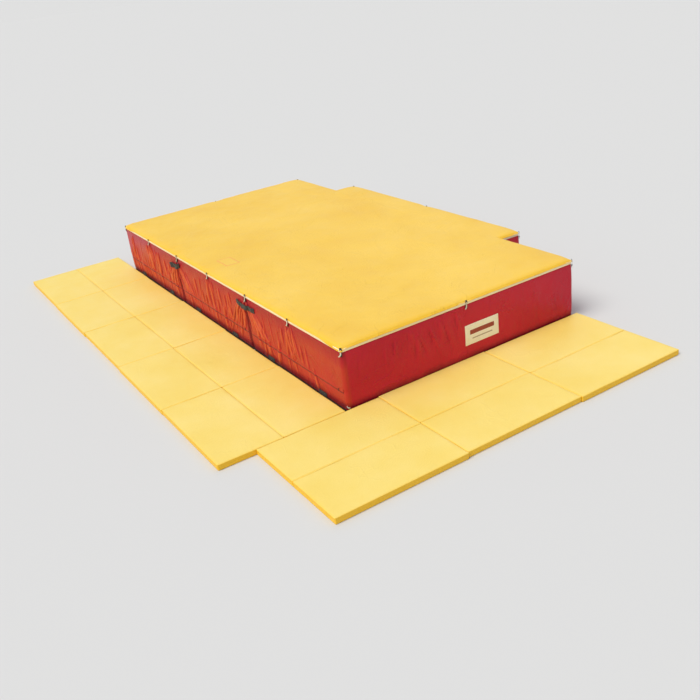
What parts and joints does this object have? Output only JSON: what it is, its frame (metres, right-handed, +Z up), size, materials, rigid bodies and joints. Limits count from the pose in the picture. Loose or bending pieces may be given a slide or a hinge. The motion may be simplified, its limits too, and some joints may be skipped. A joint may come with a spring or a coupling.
{
  "type": "landing mat",
  "caption": "Modular foam landing pit with red vinyl walls, one yellow tied-on top pad, cut-out corners, and flat yellow fold-in-half mats laid along its front and left side.",
  "frame": {"origin": "on the floor, at the centre of the pit's main rectangle, under the middle unit", "axes": "+X across the pit, away from the long straight wall; +Y along the pit, away from the labelled end wall; +Z up"},
  "size_m": [4.2231, 7.247, 0.64],
  "materials": {
    "red_vinyl": "semi-gloss, wrinkled coated fabric",
    "yellow_vinyl": "satin coated fabric",
    "surround_vinyl": "satin coated fabric",
    "cream_vinyl": "satin coated fabric",
    "black_webbing": "woven webbing",
    "white_webbing": "woven webbing",
    "black_base_sheet": "matt non-slip coated fabric",
    "foam": "open-cell foam",
    "zip_pull": "moulded plastic",
    "label": "plain printed patch with no lettering"
  },
  "bodies": {
    "landing_pit": {"near_unit_cover": "red_vinyl", "near_unit_foam": "foam", "near_unit_base": "black_base_sheet", "middle_unit_cover": "red_vinyl", "middle_unit_foam": "foam", "middle_unit_base": "black_base_sheet", "far_unit_cover": "red_vinyl", "far_unit_foam": "foam", "far_unit_base": "black_base_sheet", "front_label": "label", "left_mat_1_inner_panel": "surround_vinyl", "left_mat_1_fold_strip": "surround_vinyl", "left_mat_2_inner_panel": "surround_vinyl", "left_mat_2_fold_strip": "surround_vinyl", "left_mat_3_inner_panel": "surround_vinyl", "left_mat_3_fold_strip": "surround_vinyl", "left_mat_4_inner_panel": "surround_vinyl", "left_mat_4_fold_strip": "surround_vinyl", "left_mat_5_inner_panel": "surround_vinyl", "left_mat_5_fold_strip": "surround_vinyl", "front_mat_1_inner_panel": "surround_vinyl", "front_mat_1_fold_strip": "surround_vinyl", "front_mat_2_inner_panel": "surround_vinyl", "front_mat_2_fold_strip": "surround_vinyl", "front_mat_3_inner_panel": "surround_vinyl", "front_mat_3_fold_strip": "surround_vinyl"},
    "top_pad": {"top_pad_cover": "yellow_vinyl", "top_pad_edge_band": "cream_vinyl", "top_pad_foam": "foam", "tie_strap_00": "white_webbing", "tie_strap_01": "white_webbing", "tie_strap_02": "white_webbing", "tie_strap_03": "white_webbing", "tie_strap_04": "white_webbing", "tie_strap_05": "white_webbing", "tie_strap_06": "white_webbing", "tie_strap_07": "white_webbing", "tie_strap_08": "white_webbing", "tie_strap_09": "white_webbing", "tie_strap_10": "white_webbing", "tie_strap_11": "white_webbing", "tie_strap_12": "white_webbing", "tie_strap_13": "white_webbing"},
    "near_zip": {"near_zip_pull": "zip_pull"},
    "middle_zip": {"middle_zip_pull": "zip_pull"},
    "far_zip": {"far_zip_pull": "zip_pull"},
    "handle_left_near_loop": {"handle_left_near": "black_webbing"},
    "handle_left_far_loop": {"handle_left_far": "black_webbing"},
    "handle_right_near_loop": {"handle_right_near": "black_webbing"},
    "handle_right_far_loop": {"handle_right_far": "black_webbing"},
    "left_mat_1_flap": {"left_mat_1_outer_panel": "surround_vinyl"},
    "left_mat_2_flap": {"left_mat_2_outer_panel": "surround_vinyl"},
    "left_mat_3_flap": {"left_mat_3_outer_panel": "surround_vinyl"},
    "left_mat_4_flap": {"left_mat_4_outer_panel": "surround_vinyl"},
    "left_mat_5_flap": {"left_mat_5_outer_panel": "surround_vinyl"},
    "front_mat_1_flap": {"front_mat_1_outer_panel": "surround_vinyl"},
    "front_mat_2_flap": {"front_mat_2_outer_panel": "surround_vinyl"},
    "front_mat_3_flap": {"front_mat_3_outer_panel": "surround_vinyl"}
  },
  "joints": [
    {"name": "top_pad_lift", "type": "slide", "parent": "landing_pit", "child": "top_pad", "axis": [0, 0, 1], "range_m": [0, 0.5]},
    {"name": "near_zip_slide", "type": "slide", "parent": "landing_pit", "child": "near_zip", "axis": [0, 1, 0], "range_m": [0, 1.55]},
    {"name": "middle_zip_slide", "type": "slide", "parent": "landing_pit", "child": "middle_zip", "axis": [0, 1, 0], "range_m": [0, 1.55]},
    {"name": "far_zip_slide", "type": "slide", "parent": "landing_pit", "child": "far_zip", "axis": [0, 1, 0], "range_m": [0, 1.55]},
    {"name": "handle_left_near_swing", "type": "hinge", "parent": "landing_pit", "child": "handle_left_near_loop", "pos_m": [-1.344, -0.905, 0.525], "axis": [0, 1, 0], "range_deg": [0, 100]},
    {"name": "handle_left_far_swing", "type": "hinge", "parent": "landing_pit", "child": "handle_left_far_loop", "pos_m": [-1.344, 0.985, 0.545], "axis": [0, 1, 0], "range_deg": [0, 100]},
    {"name": "handle_right_near_swing", "type": "hinge", "parent": "landing_pit", "child": "handle_right_near_loop", "pos_m": [1.624, -0.905, 0.525], "axis": [0, -1, 0], "range_deg": [0, 100]},
    {"name": "handle_right_far_swing", "type": "hinge", "parent": "landing_pit", "child": "handle_right_far_loop", "pos_m": [1.624, 0.905, 0.525], "axis": [0, -1, 0], "range_deg": [0, 100]},
    {"name": "left_mat_1_fold", "type": "hinge", "parent": "landing_pit", "child": "left_mat_1_flap", "pos_m": [-1.98, -2.124, 0.059], "axis": [0, 1, 0], "range_deg": [0, 178]},
    {"name": "left_mat_2_fold", "type": "hinge", "parent": "landing_pit", "child": "left_mat_2_flap", "pos_m": [-1.984, -0.916, 0.059], "axis": [0, 1, 0], "range_deg": [0, 178]},
    {"name": "left_mat_3_fold", "type": "hinge", "parent": "landing_pit", "child": "left_mat_3_flap", "pos_m": [-1.978, 0.292, 0.059], "axis": [0, 1, 0], "range_deg": [0, 178]},
    {"name": "left_mat_4_fold", "type": "hinge", "parent": "landing_pit", "child": "left_mat_4_flap", "pos_m": [-1.985, 1.5, 0.059], "axis": [0, 1, 0], "range_deg": [0, 178]},
    {"name": "left_mat_5_fold", "type": "hinge", "parent": "landing_pit", "child": "left_mat_5_flap", "pos_m": [-1.98, 2.708, 0.059], "axis": [0, 1, 0], "range_deg": [0, 178]},
    {"name": "front_mat_1_fold", "type": "hinge", "parent": "landing_pit", "child": "front_mat_1_flap", "pos_m": [-1.636, -3.335, 0.059], "axis": [-1, 0, 0], "range_deg": [0, 178]},
    {"name": "front_mat_2_fold", "type": "hinge", "parent": "landing_pit", "child": "front_mat_2_flap", "pos_m": [-0.428, -3.323, 0.059], "axis": [-1, 0, 0], "range_deg": [0, 178]},
    {"name": "front_mat_3_fold", "type": "hinge", "parent": "landing_pit", "child": "front_mat_3_flap", "pos_m": [0.78, -3.333, 0.059], "axis": [-1, 0, 0], "range_deg": [0, 178]}
  ]
}
